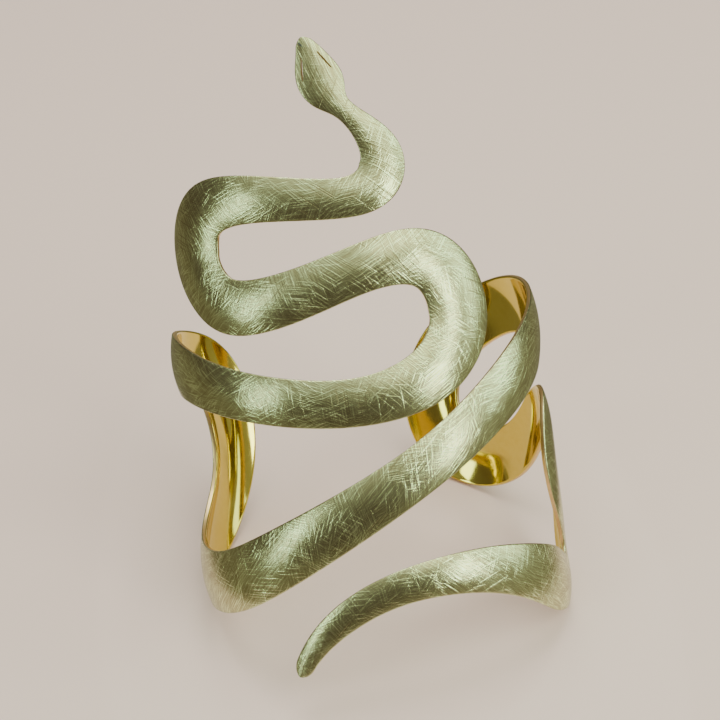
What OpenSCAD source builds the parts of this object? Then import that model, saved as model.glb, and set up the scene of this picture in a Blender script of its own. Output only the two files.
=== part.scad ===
// Snake bangle: one strip of sheet metal cut as a snake, domed across its width and bent round an oval,
// open at the back. The snake's way is charted on the oval's unrolled wall, from the snout to the tail.

/* [Oval] */
// Width of the oval over the crown of the strip, mm
oval_w = 62; // [54:1:76]
// Depth of the oval over the crown of the strip, front to back, mm
oval_d = 51.5; // [44:0.5:64]

/* [Strip] */
// Thickness of the sheet, mm
sheet_t = 0.9; // [0.7:0.05:1.4]
// Rise of the crown over the two edges, as a share of the strip's width
crown_rise = 0.075; // [0.03:0.005:0.1]
// Scale of every width in the chart
width_scale = 1; // [0.85:0.05:1.1]
// Length over which the snout rounds off, mm
snout_round = 1; // [0.75:0.25:2]
// Length over which the tail rounds off, mm
tail_round = 2.2; // [1:0.25:3]

/* [Eyes] */
// Width of the two slits cut for the eyes, mm
eye_w = 0.35; // [0.3:0.05:0.5]
// Length of each slit along the head, mm
eye_l = 3.1; // [2.5:0.1:3.5]
// Distance from the snout to where each slit starts, mm
eye_from = 2.7; // [2.5:0.1:3.5]
// Where the slits start across the head, as a share of half its width
eye_start = 0.54; // [0.45:0.01:0.6]
// Where they end across the head, as a share of half its width
eye_end = 0.7; // [0.6:0.01:0.75]

/* [Stand] */
// How far the bangle leans back when it stands on its lowest bends, degrees
lean_back = 35.6; // [30:0.1:40]
// How far it leans to its left side, degrees
lean_side = -1.8; // [-6:0.1:3]

/* [Quality] */
// Distance between sections along the strip, mm
section_step = 1.8; // [1.7:0.1:3]
// Points across each face of the strip
across_n = 7; // [5:2:9]

/* [Hidden] */

// Columns of the chart. AROUND is the angle round the oval in degrees, 0 at the front and growing to the
// right as seen from there. HEIGHT is measured along the arm and WIDTH across the strip, both in mm. Each
// row is a section: a point that the strip's middle line passes, and the strip's width there.
AROUND = 0;
HEIGHT = 1;
WIDTH = 2;
CHART = [
    // snout, head and neck
    [-8, 94, 1.7], [-6.3, 91.5, 4.4], [-4.6, 88, 7.2], [-2, 85.1, 5.7], [0.7, 83.1, 3.1], [6.3, 79.8, 4.5],
    // neck bend and first row, to the left
    [10.1, 75.8, 7], [7.8, 72.1, 7.1], [-1, 70.1, 6], [-18, 71.1, 6.6], [-36, 72.2, 7.7],
    // upper left loop and second row, to the right
    [-48, 70.7, 9.5], [-54, 65.5, 10.8], [-50.4, 60.2, 9.5], [-40, 56.1, 8.7], [-20, 56.8, 7.9],
    [0, 59.6, 7.4],
    // right loop
    [16, 60.3, 8.8], [25.7, 56.6, 10.4], [28.8, 51, 11.2], [24.4, 46.1, 10], [14, 41.9, 8.8],
    // third row, to the left and round to the back
    [-5, 39.8, 7.4], [-30, 41.4, 7.6], [-57, 44.7, 8.2], [-84, 47.9, 10],
    // left back bend
    [-109, 47.5, 11], [-124, 43.7, 12.6], [-129, 33.5, 11.5], [-124.2, 24.6, 10.7], [-111.5, 18, 10.8],
    // fourth row, rising across the front to the right and round to the back
    [-90, 13.6, 10.4], [-62, 12.9, 10.2], [-36, 17.3, 9.4], [-10, 23.4, 8.2], [16, 30.2, 7.7],
    [42, 37.9, 8.8], [68, 44.4, 9.6], [94, 49.2, 10], [116, 49.5, 10.6],
    // right back bend
    [134, 46.3, 11], [146, 40.6, 11], [151, 33.5, 11.2], [147, 25.3, 11.2], [134, 21.9, 10.9],
    // arm that comes forward, its hump and the steep stretch on the right side
    [119, 23.2, 9.9], [106, 26.9, 8.9], [95, 30.7, 9.4], [84, 30.4, 10], [75.8, 26, 10.4],
    [77.4, 18.8, 9],
    // front right corner and tail
    [83.2, 13, 6.4], [86, 8.5, 6.2], [82.6, 4.9, 7.2], [73.4, 3.7, 8.8], [61, 5.3, 10.6], [46, 8.3, 9],
    [24, 11.4, 7], [0, 11.3, 5.4], [-18, 7.5, 4.7], [-29, 2.7, 3.6], [-34.2, -1.1, 3]
];
rows = len(CHART);

// The smooth curve draws inside its guide rows, so each guide row stands a little outside its chart row.
// One more guide row past each end starts and stops the curve on the end rows.
function guide_row(i) =
    i == 0 || i == rows - 1 ? CHART[i] : (8 * CHART[i] - CHART[i - 1] - CHART[i + 1]) / 6;
inner_guide = [for (i = [0 : rows - 1]) guide_row(i)];
guide = concat([2 * inner_guide[0] - inner_guide[1]], inner_guide,
               [2 * inner_guide[rows - 1] - inner_guide[rows - 2]]);

// Shares of four rows in a point of a smooth cubic curve, f of the way between the middle two.
function shares(f) = [pow(1 - f, 3), 3 * pow(f, 3) - 6 * f * f + 4,
                      -3 * pow(f, 3) + 3 * f * f + 3 * f + 1, pow(f, 3)] / 6;
// The same for the curve's direction.
function slopes(f) = [-pow(1 - f, 2), 3 * f * f - 4 * f, -3 * f * f + 2 * f + 1, f * f] / 2;
function blend(weights, i) = weights[0] * guide[i] + weights[1] * guide[i + 1]
                           + weights[2] * guide[i + 2] + weights[3] * guide[i + 3];
function row_of(t) = min(floor(t), rows - 2);
function way(t) = blend(shares(t - row_of(t)), row_of(t));
function heading(t) = blend(slopes(t - row_of(t)), row_of(t));

// Millimetres of the oval's wall per degree round it.
function wall(around) = norm([oval_w / 2 * cos(around), oval_d / 2 * sin(around)]) * PI / 180;
// The heading on the unrolled wall, in mm.
function flat_heading(t) = [heading(t)[AROUND] * wall(way(t)[AROUND]), heading(t)[HEIGHT]];

// Length of the strip up to each of many small steps, and the way back from a length to the step.
fine = 12;
steps = (rows - 1) * fine;
reach = [for (k = 0, s = 0; k <= steps; s = s + norm(flat_heading((k + 0.5) / fine)) / fine, k = k + 1)
         [s, min(k, steps) / fine]];
strip_l = reach[steps][0];
function step_at(s) = lookup(s, reach);

// Share of the full width left at a distance s from an end that rounds off over r.
function rounded(s, r) = s >= r ? 1 : sqrt(1 - pow(1 - s / r, 2));
function width_at(s) = width_scale * way(step_at(s))[WIDTH] * rounded(s, snout_round)
                     * rounded(strip_l - s, tail_round);

// Sections crowd together where an end rounds off, and are even between.
end_n = 5;
function end_steps(r) = [for (i = [1 : end_n]) r * (1 - cos(90 * i / (end_n + 1)))];
body_n = round((strip_l - snout_round - tail_round) / section_step);
stations = concat(end_steps(snout_round),
                  [for (i = [0 : body_n]) snout_round + (strip_l - snout_round - tail_round) * i / body_n],
                  [for (i = [end_n : -1 : 1]) strip_l - end_steps(tail_round)[i - 1]]);

// Point of the strip: s along it, x across it from -1 to 1, and how deep below the outer face.
function oval_point(around, height, out) =
    let (n = [sin(around) / oval_w, -cos(around) / oval_d], unit = n / norm(n))
    [oval_w / 2 * sin(around) + out * unit[0], -oval_d / 2 * cos(around) + out * unit[1], height];
function strip_point(s, x, depth) =
    let (t = step_at(s), p = way(t), h = flat_heading(t), side = [-h[1], h[0]] / norm(h), w = width_at(s),
         around = p[AROUND] + side[0] * x * w / 2 / wall(p[AROUND]),
         height = p[HEIGHT] + side[1] * x * w / 2,
         along = [oval_w * cos(around), oval_d * sin(around)], tilt = 4 * crown_rise * x,
         lean = [side[0] * along[0] / norm(along), side[0] * along[1] / norm(along), side[1]] * tilt,
         n = [sin(around) / oval_w, -cos(around) / oval_d, 0],
         inward = -(n / norm(n) + lean) / norm(n / norm(n) + lean))
    oval_point(around, height, -crown_rise * w * x * x) + inward * depth;

// One section: the outer face across, then the inner face back.
function section(s) = let (across = [for (i = [0 : across_n - 1]) 2 * i / (across_n - 1) - 1])
    concat([for (x = across) strip_point(s, x, 0)], [for (x = across) strip_point(s, -x, sheet_t)]);
ring_n = 2 * across_n;
worn_points = [for (s = stations) each section(s)];

// Lean onto the lowest bends, then set the middle of the footprint box at the origin.
function leaned(p) =
    let (y = p[1] * cos(lean_back) + p[2] * sin(lean_back),
         z = p[2] * cos(lean_back) - p[1] * sin(lean_back))
    [p[0] * cos(lean_side) + z * sin(lean_side), y, z * cos(lean_side) - p[0] * sin(lean_side)];
leaned_points = [for (p = worn_points) leaned(p)];
function axis_of(i) = [for (p = leaned_points) p[i]];
shift = [(min(axis_of(0)) + max(axis_of(0))) / 2, (min(axis_of(1)) + max(axis_of(1))) / 2, min(axis_of(2))];
function placed(p) = leaned(p) - shift;
points = [for (p = worn_points) placed(p)];

// Corners of the slot that cuts one eye, from over the outer face to under the inner one. Side is -1 or 1.
cut_over = 0.5;
function eye_corners(side) =
    let (a = strip_point(eye_from, side * eye_start, -cut_over),
         b = strip_point(eye_from + eye_l, side * eye_end, -cut_over),
         c = strip_point(eye_from, side * eye_start, sheet_t + cut_over),
         d = strip_point(eye_from + eye_l, side * eye_end, sheet_t + cut_over),
         across = cross(b - a, c - a) / norm(cross(b - a, c - a)) * eye_w / 2)
    [a - across, a + across, b + across, b - across, c - across, c + across, d + across, d - across];
slot_faces = [[0, 1, 2, 3], [7, 6, 5, 4], [4, 5, 1, 0], [5, 6, 2, 1], [6, 7, 3, 2], [7, 4, 0, 3]];

// Triangles round the strip between neighbouring sections, and across both end sections.
rings = len(stations);
function quad(a, b, c, d) = [[a, c, b], [a, d, c]];
sides = [for (k = [0 : rings - 2], i = [0 : ring_n - 1])
         let (j = (i + 1) % ring_n)
         each quad(k * ring_n + i, (k + 1) * ring_n + i, (k + 1) * ring_n + j, k * ring_n + j)];
caps = [for (i = [0 : across_n - 2])
        let (top = (rings - 1) * ring_n, back = ring_n - 1 - i)
        each concat(quad(i, i + 1, back - 1, back),
                    quad(top + i, top + back, top + back - 1, top + i + 1))];

module snake_band() {
    color("darkkhaki")
    difference() {
        polyhedron(points = points, faces = concat(sides, caps), convexity = 12);
        for (side = [-1, 1])
            polyhedron(points = [for (p = eye_corners(side)) placed(p)], faces = slot_faces);
    }
}

snake_band();
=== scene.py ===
# %% [markdown]
# A snake cuff in scratched gold
#
# The cuff is one strip of sheet metal. It was cut as a snake, domed a little across its width and bent
# round an oval, then scratched with a coarse pad outside and polished inside. This lesson goes the same way:
# a flat blank first, then the bending, then the finishes. The packed model gives the place.

# %% Load the fixed frame
import math

import bmesh
import bpy
from mathutils import Matrix, Vector


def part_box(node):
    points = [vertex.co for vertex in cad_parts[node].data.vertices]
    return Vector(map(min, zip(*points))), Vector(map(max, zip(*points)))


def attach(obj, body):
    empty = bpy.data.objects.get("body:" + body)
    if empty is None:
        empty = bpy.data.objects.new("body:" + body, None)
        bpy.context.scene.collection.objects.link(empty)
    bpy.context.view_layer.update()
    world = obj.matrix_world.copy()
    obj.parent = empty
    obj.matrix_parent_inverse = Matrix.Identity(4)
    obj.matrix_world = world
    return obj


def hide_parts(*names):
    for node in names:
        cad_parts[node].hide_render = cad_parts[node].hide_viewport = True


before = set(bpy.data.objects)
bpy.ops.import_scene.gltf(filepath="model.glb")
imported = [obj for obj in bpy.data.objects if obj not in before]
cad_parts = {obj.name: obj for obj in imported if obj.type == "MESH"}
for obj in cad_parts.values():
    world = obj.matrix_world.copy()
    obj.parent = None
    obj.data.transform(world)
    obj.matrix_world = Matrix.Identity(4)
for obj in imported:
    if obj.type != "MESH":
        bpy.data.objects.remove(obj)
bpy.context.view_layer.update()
MM = 0.001

# %% [markdown]
# The camera
#
# The photograph looks down on the cuff from a little to its left, with a slight roll to one side. A camera
# could be aimed at the cuff with a constraint, but a matrix built from its own right, up and back directions
# states the roll as well, so that is what this cell does.

# %% Camera at the photograph's angle
PHOTO_PX = 720
FOCAL_PX = 1254
SENSOR_MM = 36
CAMERA_AT = Vector((-23.0, -149.8, 166.9)) * MM
CAMERA_AZIMUTH, CAMERA_DOWN, CAMERA_ROLL = (math.radians(a) for a in (8.02, 39.30, 1.65))

forward = Vector((math.sin(CAMERA_AZIMUTH) * math.cos(CAMERA_DOWN),
                  math.cos(CAMERA_AZIMUTH) * math.cos(CAMERA_DOWN), -math.sin(CAMERA_DOWN)))
level_right = Vector((math.cos(CAMERA_AZIMUTH), -math.sin(CAMERA_AZIMUTH), 0))
right = math.cos(CAMERA_ROLL) * level_right + math.sin(CAMERA_ROLL) * forward.cross(level_right)
up = right.cross(forward)

camera_data = bpy.data.cameras.new("photo_camera")
camera_data.sensor_width = SENSOR_MM
camera_data.lens = FOCAL_PX / PHOTO_PX * SENSOR_MM
camera_data.clip_start, camera_data.clip_end = 0.01, 10
camera = bpy.data.objects.new("photo_camera", camera_data)
camera.matrix_world = Matrix.Translation(CAMERA_AT) @ Matrix((right, up, -forward)).transposed().to_4x4()
bpy.context.scene.collection.objects.link(camera)
bpy.context.scene.camera = camera
print("Lens in mm:", round(camera_data.lens, 1))

# %% [markdown]
# The snake's way
#
# The oval's wall unrolls to a flat sheet, and on it the snake's middle line is a winding curve. A Bezier
# curve object could carry it, but the same chart has to place the width, the doming and the scratches, so
# the chart stays a table, and short functions read a smooth cubic curve through it. Sizes are in mm here.

# %% Driving sizes and the chart
OVAL_W, OVAL_D = 62.0, 51.5
SHEET_T = 0.9
CROWN_RISE = 0.075
SNOUT_ROUND, TAIL_ROUND = 1.0, 2.2
LEAN_BACK, LEAN_SIDE = math.radians(35.6), math.radians(-1.8)

# Columns: angle round the oval in degrees, height along the arm, and the strip's width.
CHART = [Vector(row) for row in (
    # snout, head and neck
    (-8, 94, 1.7), (-6.3, 91.5, 4.4), (-4.6, 88, 7.2), (-2, 85.1, 5.7), (0.7, 83.1, 3.1), (6.3, 79.8, 4.5),
    # neck bend and first row, to the left
    (10.1, 75.8, 7), (7.8, 72.1, 7.1), (-1, 70.1, 6), (-18, 71.1, 6.6), (-36, 72.2, 7.7),
    # upper left loop and second row, to the right
    (-48, 70.7, 9.5), (-54, 65.5, 10.8), (-50.4, 60.2, 9.5), (-40, 56.1, 8.7), (-20, 56.8, 7.9),
    (0, 59.6, 7.4),
    # right loop
    (16, 60.3, 8.8), (25.7, 56.6, 10.4), (28.8, 51, 11.2), (24.4, 46.1, 10), (14, 41.9, 8.8),
    # third row, to the left and round to the back
    (-5, 39.8, 7.4), (-30, 41.4, 7.6), (-57, 44.7, 8.2), (-84, 47.9, 10),
    # left back bend
    (-109, 47.5, 11), (-124, 43.7, 12.6), (-129, 33.5, 11.5), (-124.2, 24.6, 10.7), (-111.5, 18, 10.8),
    # fourth row, rising across the front to the right and round to the back
    (-90, 13.6, 10.4), (-62, 12.9, 10.2), (-36, 17.3, 9.4), (-10, 23.4, 8.2), (16, 30.2, 7.7),
    (42, 37.9, 8.8), (68, 44.4, 9.6), (94, 49.2, 10), (116, 49.5, 10.6),
    # right back bend
    (134, 46.3, 11), (146, 40.6, 11), (151, 33.5, 11.2), (147, 25.3, 11.2), (134, 21.9, 10.9),
    # arm that comes forward, its hump and the steep stretch on the right side
    (119, 23.2, 9.9), (106, 26.9, 8.9), (95, 30.7, 9.4), (84, 30.4, 10), (75.8, 26, 10.4),
    (77.4, 18.8, 9),
    # front right corner and tail
    (83.2, 13, 6.4), (86, 8.5, 6.2), (82.6, 4.9, 7.2), (73.4, 3.7, 8.8), (61, 5.3, 10.6), (46, 8.3, 9),
    (24, 11.4, 7), (0, 11.3, 5.4), (-18, 7.5, 4.7), (-29, 2.7, 3.6), (-34.2, -1.1, 3))]
ROWS = len(CHART)
print("The chart has", ROWS, "rows")


# %% A smooth curve through the chart
def guide_row(i):
    """A row moved out a little, because the smooth curve draws inside the rows that guide it."""
    if i in (0, ROWS - 1):
        return CHART[i]
    return (8 * CHART[i] - CHART[i - 1] - CHART[i + 1]) / 6


inner_guide = [guide_row(i) for i in range(ROWS)]
GUIDE = [2 * inner_guide[0] - inner_guide[1], *inner_guide, 2 * inner_guide[-1] - inner_guide[-2]]


def blend_rows(t, weights_of):
    """The guide rows round place t, weighted: t counts chart rows."""
    i = min(int(t), ROWS - 2)
    return sum((w * row for w, row in zip(weights_of(t - i), GUIDE[i:i + 4])), Vector((0, 0, 0)))


def way(t):
    """Angle round the oval, height and width at place t."""
    return blend_rows(t, lambda f: [(1 - f) ** 3 / 6, (3 * f ** 3 - 6 * f * f + 4) / 6,
                                    (-3 * f ** 3 + 3 * f * f + 3 * f + 1) / 6, f ** 3 / 6])


def wall_per_degree(around):
    """Millimetres of the oval's wall per degree."""
    a = math.radians(around)
    return math.hypot(OVAL_W / 2 * math.cos(a), OVAL_D / 2 * math.sin(a)) * math.pi / 180


def flat_heading(t):
    """The way's direction at place t on the unrolled wall, in mm."""
    slope = blend_rows(t, lambda f: [-(1 - f) ** 2 / 2, (3 * f * f - 4 * f) / 2,
                                     (-3 * f * f + 2 * f + 1) / 2, f * f / 2])
    return Vector((slope[0] * wall_per_degree(way(t)[0]), slope[1]))


print("Angle, height and width halfway:", [round(value, 1) for value in way(ROWS / 2)])

# %% Distance along the strip
FINE = 12
reach = [0.0]
for k in range((ROWS - 1) * FINE):
    reach.append(reach[-1] + flat_heading((k + 0.5) / FINE).length / FINE)
STRIP_L = reach[-1]


def place_at(s):
    """The chart place that lies s mm along the strip."""
    low, high = 0, len(reach) - 1
    while high - low > 1:
        middle = (low + high) // 2
        low, high = (middle, high) if reach[middle] <= s else (low, middle)
    return (low + (s - reach[low]) / (reach[high] - reach[low])) / FINE


def rounded(s, r):
    """Share of the full width left s mm from an end that rounds off over r."""
    return 1 if s >= r else math.sqrt(max(0, 1 - (1 - s / r) ** 2))


def width_at(s):
    """The strip's width s mm along it."""
    return way(place_at(s))[2] * rounded(s, SNOUT_ROUND) * rounded(STRIP_L - s, TAIL_ROUND)


print("The strip is", round(STRIP_L), "mm long, and", round(width_at(STRIP_L / 2), 1), "mm wide halfway")

# %% [markdown]
# The flat blank
#
# The metalworker saws the snake out of a flat sheet. A plane that is cut into shape with a boolean would do,
# but it would leave long thin faces that bend badly. A grid whose rows run across the strip bends well, so
# the blank starts as create_grid. Its rows are then spread along the strip and its columns to the edges.

# %% Blank from a grid
ROW_STEP = 0.42
END_ROWS = 9
COLUMNS = 28


def end_rows(r):
    """Distances from a rounded end, crowded towards it."""
    return [r * (1 - math.cos(math.pi / 2 * i / (END_ROWS + 1))) for i in range(1, END_ROWS + 1)]


body_length = STRIP_L - SNOUT_ROUND - TAIL_ROUND
body_n = round(body_length / ROW_STEP)
stations = (end_rows(SNOUT_ROUND) + [SNOUT_ROUND + body_length * i / body_n for i in range(body_n + 1)]
            + [STRIP_L - s for s in reversed(end_rows(TAIL_ROUND))])

blank = bmesh.new()
bmesh.ops.create_grid(blank, x_segments=len(stations) - 1, y_segments=COLUMNS, size=1)
for v in blank.verts:
    s = stations[round((v.co.x + 1) / 2 * (len(stations) - 1))]
    v.co = Vector((s, width_at(s) / 2 * math.sin(math.pi / 2 * v.co.y), 0))
print("The blank has", len(blank.faces), "faces in", len(stations), "rows")

# %% [markdown]
# The eyes
#
# Each eye is a slim slit, sawn right through the head. A dark stripe in the material would not let the light
# through, so the slit is cut: bisect_plane scores the sheet along the sides of a slim leaf, and the faces
# inside it are deleted.

# %% Saw the two slits
EYE_FROM, EYE_L, EYE_W = 2.6, 3.4, 0.28
EYE_START, EYE_END = 0.54, 0.70
EYE_SIDES = 7
EYE_BLUNT = 0.3
EYE_REACH = 1.0
SAME_PLACE = 1e-5


def eye_leaf(side):
    """The outline of one slit: a leaf from its front end to its back end, round both edges."""
    ends = [Vector((s, side * share * width_at(s) / 2, 0))
            for s, share in ((EYE_FROM, EYE_START), (EYE_FROM + EYE_L, EYE_END))]
    along = ends[1] - ends[0]
    across = Vector((-along.y, along.x, 0)).normalized() * EYE_W / 2
    rim = [(i / EYE_SIDES, math.sin(math.pi * i / EYE_SIDES) ** EYE_BLUNT) for i in range(EYE_SIDES + 1)]
    return ([ends[0] + along * f + across * bulge for f, bulge in rim]
            + [ends[0] + along * f - across * bulge for f, bulge in reversed(rim[1:-1])])


def inside(point, outline):
    """Whether a point of the flat sheet lies within a convex outline that runs clockwise."""
    return all((b - a).cross(point - a).z < 0 for a, b in zip(outline, outline[1:] + outline[:1]))


def by_the_eyes(s):
    """Whether s mm along the strip lies on the stretch with the slits."""
    return EYE_FROM - EYE_REACH < s < EYE_FROM + EYE_L + EYE_REACH


for side in (-1, 1):
    leaf = eye_leaf(side)
    for a, b in zip(leaf, leaf[1:] + leaf[:1]):
        middles = [(f, f.calc_center_median()) for f in blank.faces]
        near = [f for f, middle in middles if by_the_eyes(middle.x) and middle.y * side > 0]
        edges = list(dict.fromkeys(e for f in near for e in f.edges))
        corners = list(dict.fromkeys(v for f in near for v in f.verts))
        bmesh.ops.bisect_plane(blank, geom=near + edges + corners, dist=SAME_PLACE, plane_co=a,
                               plane_no=Vector((b.y - a.y, a.x - b.x, 0)))
    sawn = [f for f in blank.faces if inside(f.calc_center_median(), leaf)]
    bmesh.ops.delete(blank, geom=sawn, context="FACES")
    print("Eye", side, "took", len(sawn), "faces out")

# %% [markdown]
# The sheet's thickness and its softened rims
#
# The solidify operator gives the flat sheet its wall, with a rim round the outline and round the slits. The
# bevel operator could soften the rims, but at the pointed tail its offset would meet itself. The columns
# already crowd towards the rims, so each vertex there is simply let down along a quarter circle.

# %% Thickness, and the faces sorted by finish
OUTSIDE, INSIDE, RIM = 0, 1, 2

bmesh.ops.recalc_face_normals(blank, faces=blank.faces)
if blank.faces[0].normal.z < 0:
    bmesh.ops.reverse_faces(blank, faces=blank.faces)
bmesh.ops.solidify(blank, geom=blank.faces[:], thickness=SHEET_T)
top = max(v.co.z for v in blank.verts)
bmesh.ops.translate(blank, verts=blank.verts, vec=(0, 0, -top))
blank.normal_update()
bmesh.ops.recalc_face_normals(blank, faces=blank.faces)
for face in blank.faces:
    face.smooth = True
    face.material_index = OUTSIDE if face.normal.z > 0.5 else INSIDE if face.normal.z < -0.5 else RIM
for edge in blank.edges:
    s, across, _ = edge.verts[0].co
    if by_the_eyes(s) and len({f.material_index for f in edge.link_faces}) > 1:
        # The slits keep crisp edges, and the outline doesn't.
        edge.smooth = abs(across) > width_at(s) / 2 - EYE_W
print("Depths of the blank:", round(min(v.co.z for v in blank.verts), 3), "to 0")

# %% How far a rim is let down
OUTER_RIM_R, INNER_RIM_R = 0.16, 0.24


def let_down(inset, r):
    """How far a quarter circle of radius r drops, inset mm in from the rim."""
    return r - math.sqrt(max(0, r * r - (r - inset) ** 2)) if inset < r else 0


print("The outer rim drops by", let_down(0, OUTER_RIM_R), "mm at its edge")

# %% [markdown]
# Bending
#
# The blank is now bent as a whole. Each vertex knows how far along and across the strip it lies and how deep
# in the sheet, and one function says where that point ends up on the domed, leaning oval. A Curve modifier
# bends a strip too, but it can't dome it. Before a vertex moves, it notes its place on the unrolled wall and
# along the snake, and the scratches are drawn in those later.


# %% The bending functions
def middle_at(s):
    """Angle and height of the strip's middle line, s mm along it, and its heading there."""
    t = place_at(s)
    around, height, _ = way(t)
    return around, height, flat_heading(t).normalized()


def bent(s, across, depth):
    """Where a point of the blank goes on the upright oval, in mm."""
    around_mid, height_mid, heading = middle_at(s)
    w = width_at(s)
    x = 2 * across / w
    around = around_mid - heading.y * across / wall_per_degree(around_mid)
    height = height_mid + heading.x * across
    a = math.radians(around)
    outward = Vector((math.sin(a) / OVAL_W, -math.cos(a) / OVAL_D, 0)).normalized()
    along = Vector((OVAL_W * math.cos(a), OVAL_D * math.sin(a), 0)).normalized()
    domed = (outward + 4 * CROWN_RISE * x * (Vector((0, 0, heading.x)) - heading.y * along)).normalized()
    on_oval = Vector((OVAL_W / 2 * math.sin(a), -OVAL_D / 2 * math.cos(a), height))
    return on_oval - outward * CROWN_RISE * w * x * x - domed * depth


def leaned(p):
    """The cuff leans back onto its lowest bends, and a little to one side."""
    y = p.y * math.cos(LEAN_BACK) + p.z * math.sin(LEAN_BACK)
    z = p.z * math.cos(LEAN_BACK) - p.y * math.sin(LEAN_BACK)
    return Vector((p.x * math.cos(LEAN_SIDE) + z * math.sin(LEAN_SIDE), y,
                   z * math.cos(LEAN_SIDE) - p.x * math.sin(LEAN_SIDE)))


print("Halfway along, the strip bends to", [round(side, 1) for side in bent(STRIP_L / 2, 0, 0)])

# %% Places on the unrolled wall
wall_reach = [0.0]
for degree in range(-180, 180):
    wall_reach.append(wall_reach[-1] + wall_per_degree(degree + 0.5))


def unrolled(around):
    """Millimetres along the oval's wall from the back round to an angle."""
    whole = min(max(int(around + 180), 0), 359)
    return wall_reach[whole] + (around + 180 - whole) * wall_per_degree(around)


print("The oval's wall is", round(wall_reach[-1]), "mm round")

# %% Bend the blank
wall_layer = blank.verts.layers.float_vector.new("sheet")
snake_layer = blank.verts.layers.float_vector.new("snake")
for v in blank.verts:
    s, across, z = v.co
    w = width_at(s)
    inset = w / 2 - abs(across)
    depth = -z
    if depth < SHEET_T / 2:
        depth += let_down(inset, OUTER_RIM_R)
    else:
        depth -= let_down(inset, INNER_RIM_R)
    around_mid, height_mid, heading = middle_at(s)
    v[wall_layer] = Vector((unrolled(around_mid) - heading.y * across,
                            height_mid + heading.x * across, depth))
    v[snake_layer] = Vector((s, across, 2 * across / w))
    v.co = leaned(bent(s, across, depth)) * MM

low = Vector([min(v.co[i] for v in blank.verts) for i in range(3)])
high = Vector([max(v.co[i] for v in blank.verts) for i in range(3)])
cad_low, cad_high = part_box("snake_band")
home = Vector(((cad_low.x + cad_high.x - low.x - high.x) / 2,
               (cad_low.y + cad_high.y - low.y - high.y) / 2, cad_low.z - low.z))
bmesh.ops.translate(blank, verts=blank.verts, vec=home)
print("Bent size in mm:", [round(side / MM, 2) for side in high - low],
      "and the model's:", [round(side / MM, 2) for side in cad_high - cad_low])


# %% Make the piece
def add_object(name, shape):
    """A mesh object made from a bmesh, which is freed."""
    mesh = bpy.data.meshes.new(name)
    shape.to_mesh(mesh)
    shape.free()
    made = bpy.data.objects.new(name, mesh)
    bpy.context.scene.collection.objects.link(made)
    return made


cuff = add_object("snake_cuff", blank)
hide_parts("snake_band")
print("The cuff has", len(cuff.data.polygons), "faces")

# %% [markdown]
# Writing shader maths as Python
#
# A finish is a small sum: some masks, some noise, a mix of colours. Wiring that by hand hides the sum, so
# one small class wraps a socket and turns plus, minus and times into Math nodes, and one method makes any
# other node. The short methods below it only save typing.


# %% A socket that can be added and multiplied
class Wire:
    """A value in a node tree. Arithmetic on it adds Math nodes."""

    def __init__(self, paint, socket):
        self.paint, self.socket = paint, socket

    def maths(self, operation, *values):
        return self.paint.node("ShaderNodeMath", {"operation": operation}, dict(enumerate(values)))

    def sibling(self, output):
        """Another output of the same node."""
        return Wire(self.paint, self.socket.node.outputs[output])

    def __add__(self, other):
        return self.maths("ADD", self, other)

    def __radd__(self, other):
        return self.maths("ADD", other, self)

    def __sub__(self, other):
        return self.maths("SUBTRACT", self, other)

    def __rsub__(self, other):
        return self.maths("SUBTRACT", other, self)

    def __mul__(self, other):
        return self.maths("MULTIPLY", self, other)

    def __rmul__(self, other):
        return self.maths("MULTIPLY", other, self)


print("Arithmetic on a wire:", [name for name in vars(Wire) if name.endswith(("add__", "sub__", "mul__"))])

# %% A node tree to paint with
class Paint:
    """The node tree of a material, or of the world, and the shader in it."""

    def __init__(self, owner, shader="Principled BSDF"):
        owner.use_nodes = True
        self.owner, self.tree = owner, owner.node_tree
        self.shader = self.tree.nodes[shader]

    def node(self, kind, settings=None, inputs=None, output=0):
        """Any node: its settings first, then the values or links of its sockets."""
        made = self.tree.nodes.new(kind)
        for name, value in (settings or {}).items():
            setattr(made, name, value)
        for name, value in (inputs or {}).items():
            self.put(made.inputs[name], value)
        return Wire(self, made.outputs[output])

    def put(self, socket, value):
        if isinstance(value, Wire):
            self.tree.links.new(value.socket, socket)
        else:
            socket.default_value = value

    def set(self, **values):
        """Set or link the shader's own sockets."""
        for name, value in values.items():
            self.put(self.shader.inputs[name.replace("_", " ")], value)

    def attribute(self, name):
        return self.node("ShaderNodeAttribute", {"attribute_name": name}, output="Vector")

    def axis(self, place, name="X"):
        """One axis of a vector, or one channel of a colour."""
        return self.node("ShaderNodeSeparateXYZ", {}, {0: place}, name)

    def vector(self, operation, a, b):
        return self.node("ShaderNodeVectorMath", {"operation": operation}, {0: a, 1: b})

    def noise(self, place, scale, detail, output="Fac"):
        return self.node("ShaderNodeTexNoise", {"noise_dimensions": "3D"},
                         {"Vector": place, "Scale": scale, "Detail": detail}, output)

    def cells(self, place, scale, feature, output):
        """A Voronoi pattern over the first two axes."""
        return self.node("ShaderNodeTexVoronoi", {"voronoi_dimensions": "2D", "feature": feature},
                         {"Vector": place, "Scale": scale}, output)

    def ramp(self, value, low, high, to_low=0.0, to_high=1.0):
        """A smooth step from low to high."""
        return self.node("ShaderNodeMapRange", {"interpolation_type": "SMOOTHSTEP"},
                         {"Value": value, "From Min": low, "From Max": high, "To Min": to_low,
                          "To Max": to_high})

    def mix(self, share, a, b):
        return self.node("ShaderNodeMix", {"data_type": "RGBA"}, {0: share, 6: a, 7: b}, 2)

    def bump(self, depth, height):
        """A normal for a relief that is depth metres deep where height is 1."""
        return self.node("ShaderNodeBump", {}, {"Strength": 1.0, "Distance": depth, "Height": height})


def paint_for(name):
    """A new material, ready to paint."""
    return Paint(bpy.data.materials.new(name))


print("Paint can:", [name for name in vars(Paint) if not name.startswith("_")])

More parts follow.
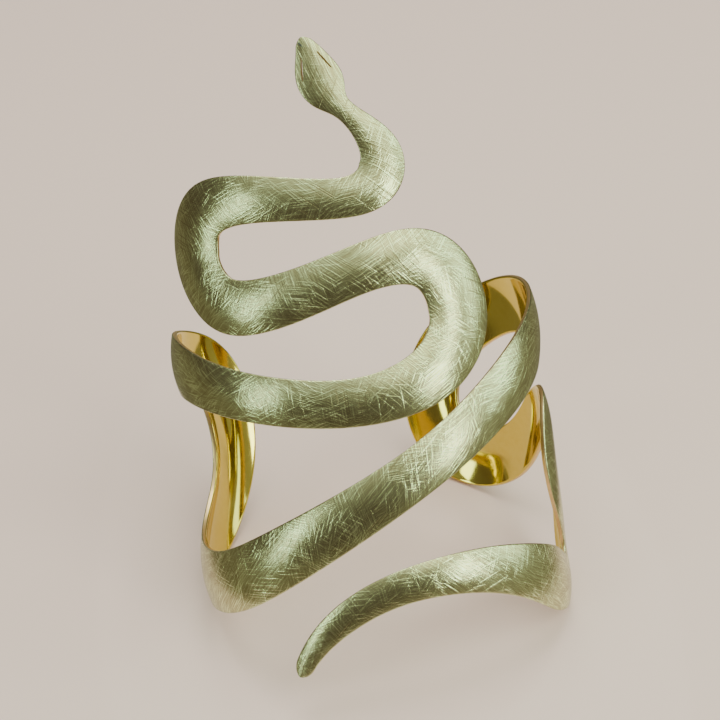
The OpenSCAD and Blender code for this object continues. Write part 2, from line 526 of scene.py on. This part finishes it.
# %% [markdown]
# The scratched outside
#
# A coarse pad was rubbed over the outside in short strokes, a few one way and then a few another, so the
# marks lie in patches that cross. An image of scratches would tile and stretch, and the shader's own
# anisotropy has one direction only. Here a Voronoi pattern with large cells makes the patches and gives each
# a direction of its own. In those turned coordinates a noise that is drawn out along one axis makes fine
# grain, and a second Voronoi pattern, drawn out too, makes single strokes: near a cell's middle its distance
# is small, which gives a thin mark with tapered ends.

# %% Patches, grain and strokes
FULL_TURN = 2 * math.pi
SEED_X, SEED_Y = 17.3, 9.1
EDGE_FADE = 0.16
COVER_FADE, PART_FADE = 0.25, 0.3
GRAIN_LOW, GRAIN_HIGH = 0.38, 0.62
STROKE_RIM, STROKE_CORE = 0.30, 0.10


def patches(paint, place, size, seed, turn=FULL_TURN, cover=1.0):
    """Coordinates turned patch by patch, and a share that fades out at each patch's edge. Sizes in mm."""
    shifted = paint.vector("ADD", place, (seed * SEED_X, seed * SEED_Y, 0))
    middle = paint.cells(shifted, 1 / size, "F1", "Position")
    edge = paint.cells(shifted, 1 / size, "DISTANCE_TO_EDGE", "Distance")
    lot = paint.axis(middle.sibling("Color"))
    turned = paint.node("ShaderNodeVectorRotate", {"rotation_type": "Z_AXIS"},
                        {"Vector": shifted, "Center": middle, "Angle": (lot - 0.5) * turn})
    used = paint.ramp(lot.sibling("Y"), cover, cover - COVER_FADE)
    return turned, paint.ramp(edge, 0.0, EDGE_FADE) * used


def grain(paint, place, length, width):
    """Fine streaks from 0 to 1 along the first axis of the coordinates."""
    drawn_out = paint.vector("DIVIDE", place, (length, width, 1))
    return paint.ramp(paint.noise(drawn_out, 1.0, 1.0), GRAIN_LOW, GRAIN_HIGH)


def strokes(paint, place, length, width, part):
    """Single thin marks along the first axis, 1 in their middle; part is the share of them that is kept."""
    drawn_out = paint.vector("DIVIDE", place, (length, width, 1))
    distance = paint.cells(drawn_out, 1.0, "F1", "Distance")
    lot = paint.axis(distance.sibling("Color"))
    return paint.ramp(distance, STROKE_RIM, STROKE_CORE) * paint.ramp(lot, part, part - PART_FADE)


print("A mark is about", STROKE_RIM + STROKE_CORE, "of its cell's width")

# %% [markdown]
# Where the marks run
#
# Marks could follow the bent cuff's own X, Y and Z, but then they would stretch where the sheet turns away.
# They follow the unrolled wall instead, which is how the pad met the sheet, and a slow sway keeps the longer
# ones from being ruler straight. Near the snout and the tail the pad had no room, so the patches give way
# there to strokes along the snake.

# %% Coordinates for the marks
SWAY_SCALE, SWAY = 0.08, (0.6, 0.6, 0.0)
HEAD_FADE, TAIL_FADE = (6.0, 22.0), (40.0, 10.0)
HEAD_SHARE, TAIL_SHARE = 0.3, 0.6

outside = paint_for("scratched_gold")
flat = outside.attribute("sheet")
sway = outside.vector("SUBTRACT", outside.noise(flat, SWAY_SCALE, 0.0, "Color"), (0.5, 0.5, 0.5))
curved = outside.vector("ADD", flat, outside.vector("MULTIPLY", sway, SWAY))
along_snake = outside.vector("MULTIPLY", outside.attribute("snake"), (1, 1, 0))
from_snout = outside.axis(along_snake)
tail_from, tail_to = (STRIP_L - distance for distance in TAIL_FADE)
off_ends = (outside.ramp(from_snout, *HEAD_FADE, HEAD_SHARE, 1.0)
            * outside.ramp(from_snout, tail_from, tail_to, 1.0, TAIL_SHARE))
print("The patches fade out over the last", round(STRIP_L - tail_from), "mm of the tail")

# %% Layers of rubbing
# Columns: a patch's size and a stroke's length in mm, and the share of the patches that is used.
RUBBINGS = ((13.0, 8.0, 1.2), (11.0, 6.5, 1.1), (9.0, 7.5, 1.0), (12.0, 9.0, 0.9), (10.0, 6.0, 0.8))
ALONG_GRAIN_L, ALONG_GRAIN_W = 4.0, 0.14
GRAIN_L, GRAIN_W, GRAIN_SHARE = 0.8, 0.15, 0.5
STROKE_W, STROKES_KEPT, STROKE_SHARE = 0.34, 0.8, 0.65

marks = 0.0
rubbed = grain(outside, along_snake, ALONG_GRAIN_L, ALONG_GRAIN_W)
for seed, (size, length, cover) in enumerate(RUBBINGS, start=1):
    turned, share = patches(outside, curved, size, seed, cover=cover)
    share = share * off_ends
    newer = share * GRAIN_SHARE
    rubbed = grain(outside, turned, length * GRAIN_L, GRAIN_W) * newer + rubbed * (1 - newer)
    marks = strokes(outside, turned, length, STROKE_W, STROKES_KEPT) * share * STROKE_SHARE + marks
print("Layers of rubbing:", len(RUBBINGS))

# %% [markdown]
# Bold marks, marks along the snake, and dark nicks
#
# The even rubbing alone looks like cloth. The real cuff also has a few bold marks, some that run along the
# snake, and a few dark nicks where a grain of the pad dug in, so each of those gets a layer. The nicks are
# kept apart, because they go down in the relief and take away the painted sheen, a pale mint colour that the
# others add to stand for the light they catch.

# %% Bold marks, marks along the snake, and nicks
SLIGHT_TURN = 0.9
ALONG_SHARE, ENDS_SHARE = 0.7, 0.8

turned, share = patches(outside, curved, size=14.0, seed=7, cover=0.8)
marks = strokes(outside, turned, length=11.0, width=0.50, part=0.35) * share * off_ends + marks
turned, share = patches(outside, along_snake, size=8.0, seed=8, turn=SLIGHT_TURN, cover=0.9)
marks = strokes(outside, turned, length=6.0, width=0.33, part=0.8) * share * ALONG_SHARE + marks
at_ends = strokes(outside, along_snake, length=5.0, width=0.33, part=0.7)
marks = at_ends * (1 - off_ends) * ENDS_SHARE + marks
turned, share = patches(outside, curved, size=16.0, seed=9, cover=0.9)
nicks = strokes(outside, turned, length=9.0, width=0.34, part=0.35) * share
print("Nodes so far:", len(outside.tree.nodes))

# %% Scratched gold
SCRATCH_DEPTH = 0.029 * MM
PAINTED_SHEEN_MINT, DEEP_GOLD = (0.86, 0.96, 0.53, 1), (0.37, 0.335, 0.175, 1)
BRIGHTEST = 0.95
ROUGHNESS, MARK_SHINE = 0.24, 0.04
# How much marks and grain add, and nicks take away, in the relief and in the painted sheen, the pale mint
# that stands for the light the marks catch.
RELIEF_SHARES, SHEEN_SHARES = (0.55, 0.4, 0.6), (0.5, 0.5, 0.6)
SCUFF_AT, SCUFF_TURN, SCUFF_SIZE = (0.95, -0.52, 0), (0, 0, 0.31), (0.55, 0.16, 1)
SCUFF_RIM, SCUFF_CORE = 1.2, 0.5
SCUFF_COLOUR = (0.20, 0.22, 0.19, 1)


def layered(mark_share, grain_share, nick_share):
    """Marks and grain together, less the nicks."""
    return marks * mark_share + rubbed * grain_share - nicks * nick_share


relief = outside.bump(SCRATCH_DEPTH, layered(*RELIEF_SHARES))
# Painted sheen: marks and grain lighten the colour from the deep gold towards a pale mint, which stands for
# the light they catch, and nicks take it away.
painted_sheen = outside.ramp(layered(*SHEEN_SHARES), 0.0, BRIGHTEST)
scuffed = outside.node("ShaderNodeMapping", {"vector_type": "TEXTURE"},
                       {"Vector": along_snake, "Location": SCUFF_AT, "Rotation": SCUFF_TURN,
                        "Scale": SCUFF_SIZE})
from_scuff = outside.node("ShaderNodeVectorMath", {"operation": "LENGTH"}, {0: scuffed}, "Value")
gold = outside.mix(painted_sheen, DEEP_GOLD, PAINTED_SHEEN_MINT)
outside.set(Base_Color=outside.mix(outside.ramp(from_scuff, SCUFF_RIM, SCUFF_CORE), gold, SCUFF_COLOUR),
            Metallic=1.0, Roughness=ROUGHNESS - marks * MARK_SHINE, Normal=relief)
print("The scratched finish has", len(outside.tree.nodes), "nodes")

# %% [markdown]
# The polished inside and the rims
#
# Inside, the sheet keeps its mirror polish, with faint waves from the bending and a light haze of handling.
# A perfectly smooth mirror would look like plastic film. The sawn rims were only rubbed down with a file, so
# they are a duller, warmer gold with a fine grain.

# %% Polished inside
WAVE_SCALE, WAVE_DEPTH = 0.12, 0.05 * MM
HAZE_SCALE = 0.9
MIRROR_ROUGHNESS, HAZE_ROUGHNESS = 0.06, 0.06
DEEP_LEMON, PALE_LEMON = (0.66, 0.52, 0.09, 1), (0.74, 0.60, 0.14, 1)

polish = paint_for("polished_gold")
sheet_place = polish.attribute("sheet")
waves = polish.noise(sheet_place, WAVE_SCALE, 1.0)
haze = polish.noise(sheet_place, HAZE_SCALE, 3.0)
polish.set(Base_Color=polish.mix(haze, DEEP_LEMON, PALE_LEMON), Metallic=1.0,
           Roughness=MIRROR_ROUGHNESS + haze * HAZE_ROUGHNESS, Normal=polish.bump(WAVE_DEPTH, waves))
print("The polished finish has", len(polish.tree.nodes), "nodes")

# %% Filed rims
FILE_SCALE, FILE_DEPTH = 3.0, 0.006 * MM
FILED_ROUGHNESS, FILE_MARK_ROUGHNESS = 0.30, 0.1
DEEP_RIM, PALE_RIM = (0.74, 0.50, 0.22, 1), (0.86, 0.64, 0.33, 1)

filed = paint_for("rim_gold")
file_marks = filed.noise(filed.attribute("snake"), FILE_SCALE, 2.0)
filed.set(Base_Color=filed.mix(file_marks, DEEP_RIM, PALE_RIM), Metallic=1.0,
          Roughness=FILED_ROUGHNESS + file_marks * FILE_MARK_ROUGHNESS,
          Normal=filed.bump(FILE_DEPTH, file_marks))

for paint in (outside, polish, filed):
    cuff.data.materials.append(paint.owner)
print("Finishes on the cuff:", [finish.name for finish in cuff.data.materials])

# %% [markdown]
# Where it stands
#
# The cuff stands on its three lowest bends on a pale table. A curved backdrop would hide the horizon, but
# the metal would mirror its curve. One large flat square with a soft satin finish is enough: it takes the
# cuff's shadow and gives the polished inside something pale to mirror.

# %% Table
TABLE_SIZE = 4.0
TABLE_COLOUR = (0.85, 0.63, 0.605, 1)

table = bmesh.new()
bmesh.ops.create_grid(table, x_segments=1, y_segments=1, size=TABLE_SIZE / 2)
table_top = add_object("table_top", table)
table_paint = paint_for("table_paint")
table_paint.set(Base_Color=TABLE_COLOUR, Roughness=0.5)
table_top.data.materials.append(table_paint.owner)
print("The table is", TABLE_SIZE, "m wide")

# %% [markdown]
# The light
#
# Metal shows what surrounds it, so each light is shaped as what the cuff mirrors. A large soft key light
# hangs behind and above, and a weaker one over the front right. Windows at the sides draw the bright bands
# across the rows: a narrow one at the left, a wider one at the front right, and two broad ones further round
# for the glow on the right bends. Small lamps or a sun would give sharp specks in place of these bands.

# %% Softboxes
MIDDLE = Vector((0, 0, 0.04))
WARM_MINT, MINT, PALE_MINT = (0.92, 1.0, 0.76), (0.78, 1.0, 0.80), (0.86, 1.0, 0.80)
NEAR_WHITE, WALL_MINT = (0.96, 0.98, 0.88), (0.92, 1.0, 0.72)

# Columns: name, then azimuth, elevation and distance seen from the cuff, width and height in metres,
# watts, and colour. Azimuth 0 is in front and grows to the right.
LIGHTS = (
    ("key_light", 180, 65, 0.9, 0.6, 0.6, 5, NEAR_WHITE),
    ("ceiling_light", 45, 55, 0.8, 0.6, 0.4, 1.7, WARM_MINT),
    ("left_window", -62, 17, 0.8, 0.14, 0.44, 1.1, MINT),
    ("right_window", 43, 20, 0.8, 0.20, 0.38, 2.1, PALE_MINT),
    ("far_right_window", 82, 24, 0.8, 0.40, 0.60, 2.2, MINT),
    ("right_wall", 74, 16, 1.0, 1.0, 0.7, 0.50, WALL_MINT))


def toward(azimuth, elevation, distance):
    """A place seen from the cuff at an azimuth and an elevation in degrees."""
    a, e = math.radians(azimuth), math.radians(elevation)
    way_out = Vector((math.sin(a) * math.cos(e), -math.cos(a) * math.cos(e), math.sin(e)))
    return MIDDLE + distance * way_out


for name, azimuth, elevation, distance, width, tall, power, colour in LIGHTS:
    light = bpy.data.lights.new(name, "AREA")
    light.shape = "RECTANGLE"
    light.size, light.size_y = width, tall
    light.energy, light.color = power, colour
    lamp = bpy.data.objects.new(name, light)
    lamp.location = toward(azimuth, elevation, distance)
    lamp.rotation_euler = (MIDDLE - lamp.location).to_track_quat("-Z", "Y").to_euler()
    bpy.context.scene.collection.objects.link(lamp)
print("Softboxes:", [row[0] for row in LIGHTS])

# %% [markdown]
# What the metal mirrors
#
# In a studio the table ends and a darker room begins, and that dark gives the metal its depth. A smaller
# table would show its edge to the camera, so a ring that only reflections see is laid over the table. Its
# hole is squeezed at the sides, so that the bends at the left and right mirror the ring just past the cuff.
# The pale wall far behind is the reverse: only the camera sees it, as a backdrop for views from the side.

# %% A dark ring round the cuff, for reflections only
RING_SIDES = 64
HOLE_R, HOLE_SQUEEZE = 0.085, 0.58
ROOM_R = 1.9
RING_LIFT = 0.0005
RING_COLOUR = (0.16, 0.13, 0.095, 1)

ring = bmesh.new()
for radius, squeeze in ((HOLE_R, HOLE_SQUEEZE), (ROOM_R, 1)):
    bmesh.ops.create_circle(ring, segments=RING_SIDES, radius=radius,
                            matrix=Matrix.Diagonal((squeeze, 1, 1, 1)))
bmesh.ops.bridge_loops(ring, edges=ring.edges[:])
bmesh.ops.translate(ring, verts=ring.verts, vec=(0, 0, RING_LIFT))
surround = add_object("dark_surround", ring)
surround.visible_camera = surround.visible_diffuse = surround.visible_shadow = False
surround_paint = paint_for("surround_paint")
surround_paint.set(Base_Color=RING_COLOUR, Roughness=0.8)
surround.data.materials.append(surround_paint.owner)
print("The ring's hole is", round(2 * HOLE_R * HOLE_SQUEEZE / MM), "by", round(2 * HOLE_R / MM), "mm")

# %% A pale wall far behind, for the camera only
WALL_H = 1.6
WALL_GLOW = (0.53, 0.455, 0.40, 1)

wall = bmesh.new()
bmesh.ops.create_circle(wall, segments=RING_SIDES, radius=ROOM_R)
risen = bmesh.ops.extrude_edge_only(wall, edges=wall.edges[:])["geom"]
top_ring = [part for part in risen if isinstance(part, bmesh.types.BMVert)]
bmesh.ops.translate(wall, verts=top_ring, vec=(0, 0, WALL_H))
pale_wall = add_object("pale_wall", wall)
pale_wall.visible_glossy = pale_wall.visible_diffuse = pale_wall.visible_shadow = False
wall_paint = paint_for("wall_paint")
wall_paint.set(Base_Color=(0, 0, 0, 1), Roughness=1.0, Emission_Color=WALL_GLOW, Emission_Strength=1.0)
pale_wall.data.materials.append(wall_paint.owner)
print("The wall has", len(pale_wall.data.polygons), "faces")

# %% [markdown]
# The sky
#
# A flat grey world would fill the dark stretches of the metal with an even veil. This one is dim and warm
# low down, where the rows mirror it, and bright only overhead, where it helps the key light.

# %% The surroundings
LOW_SKY, HIGH_SKY = (0.52, 0.45, 0.36, 1), (0.85, 0.95, 0.75, 1)
LOW_GLOW, HIGH_GLOW = 0.27, 1.4
COLOUR_FADE, GLOW_FADE = (0.2, 0.9), (0.5, 1.0)

world = bpy.data.worlds.new("studio")
bpy.context.scene.world = world
sky = Paint(world, "Background")
rise = sky.axis(sky.node("ShaderNodeTexCoord"), "Z")
sky.set(Color=sky.mix(sky.ramp(rise, *COLOUR_FADE), LOW_SKY, HIGH_SKY),
        Strength=sky.ramp(rise, *GLOW_FADE, LOW_GLOW, HIGH_GLOW))
print("The sky glows from", LOW_GLOW, "to", HIGH_GLOW)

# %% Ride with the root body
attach(cuff, "root")
